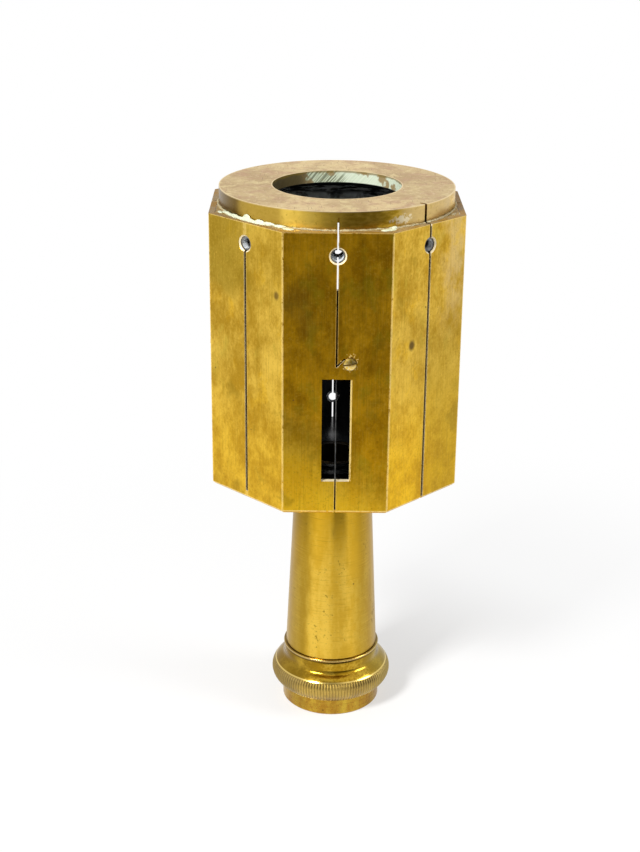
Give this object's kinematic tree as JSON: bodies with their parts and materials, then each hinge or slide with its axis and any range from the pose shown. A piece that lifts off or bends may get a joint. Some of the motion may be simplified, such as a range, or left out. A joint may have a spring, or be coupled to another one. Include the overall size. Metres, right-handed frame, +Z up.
{
  "type": "surveyors cross",
  "caption": "Octagonal brass surveyor's sighting head with slits, hair windows, peep bushes and an open top ring, on a tapered staff socket with a knurled collar.",
  "frame": {"origin": "centre of the foot's lower face, on the axis", "axes": "+Z up along the axis; the front face, with its window low down, looks along -Y; +X to the right"},
  "size_m": [0.0818, 0.0818, 0.1852],
  "materials": {
    "case_brass": "hand-drawn satin with tarnish; black lacquer on the inner faces",
    "ring_brass": "pale worn satin, verdigris in the bore",
    "inner_brass": "gloss black lacquer on brass",
    "socket_brass": "turned satin",
    "collar_brass": "polished, knurled band",
    "foot_brass": "coppery worn satin",
    "screw_brass": "scuffed bright",
    "solder": "dull soft solder with verdigris",
    "bush_steel": "polished white metal",
    "hair_wire": "dark wire"
  },
  "bodies": {
    "socket": {"socket_cone": "socket_brass", "foot_ferrule": "foot_brass"},
    "spigot": {"threaded_spigot": "socket_brass"},
    "head": {"octagonal_case": "case_brass", "top_ring": "ring_brass", "seat_plate": "inner_brass", "solder_seam": "solder", "base_plate": "inner_brass", "threaded_boss": "inner_brass", "boss_screws": "screw_brass", "peep_bush_front": "bush_steel", "peep_bush_front_right": "bush_steel", "peep_bush_right": "bush_steel", "peep_bush_rear_right": "bush_steel", "peep_bush_rear": "bush_steel", "peep_bush_rear_left": "bush_steel", "peep_bush_left": "bush_steel", "peep_bush_front_left": "bush_steel", "sight_hair_front": "hair_wire", "sight_hair_right": "hair_wire", "sight_hair_rear": "hair_wire", "sight_hair_left": "hair_wire"},
    "collar": {"knurled_collar": "collar_brass"},
    "clamp_front": {"clamp_screw_front": "screw_brass"},
    "clamp_right": {"clamp_screw_right": "screw_brass"},
    "clamp_rear": {"clamp_screw_rear": "screw_brass"},
    "clamp_left": {"clamp_screw_left": "screw_brass"}
  },
  "joints": [
    {"name": "head_turn", "type": "hinge", "parent": "socket", "child": "spigot", "pos_m": [0, 0, 0.0883], "axis": [0, 0, 1], "range_deg": [0, 1620]},
    {"name": "head_rise", "type": "slide", "parent": "spigot", "child": "head", "axis": [0, 0, 1], "range_m": [0, 0.0045]},
    {"name": "collar_turn", "type": "hinge", "parent": "socket", "child": "collar", "pos_m": [0, 0, 0.0125], "axis": [0, 0, 1], "range_deg": [0, 360]},
    {"name": "clamp_front_turn", "type": "hinge", "parent": "head", "child": "clamp_front", "pos_m": [0.0041, -0.04, 0.1385], "axis": [0, -1, 0], "range_deg": [0, 720]},
    {"name": "clamp_right_turn", "type": "hinge", "parent": "head", "child": "clamp_right", "pos_m": [0.04, 0.0041, 0.1385], "axis": [1, 0, 0], "range_deg": [0, 720]},
    {"name": "clamp_rear_turn", "type": "hinge", "parent": "head", "child": "clamp_rear", "pos_m": [-0.0041, 0.04, 0.1337], "axis": [0, 1, 0], "range_deg": [0, 720]},
    {"name": "clamp_left_turn", "type": "hinge", "parent": "head", "child": "clamp_left", "pos_m": [-0.04, -0.0041, 0.1337], "axis": [-1, 0, 0], "range_deg": [0, 720]}
  ],
  "couplings": [
    {"joint": "head_rise", "follows": "head_turn", "m_per_rad": 0.000159}
  ]
}
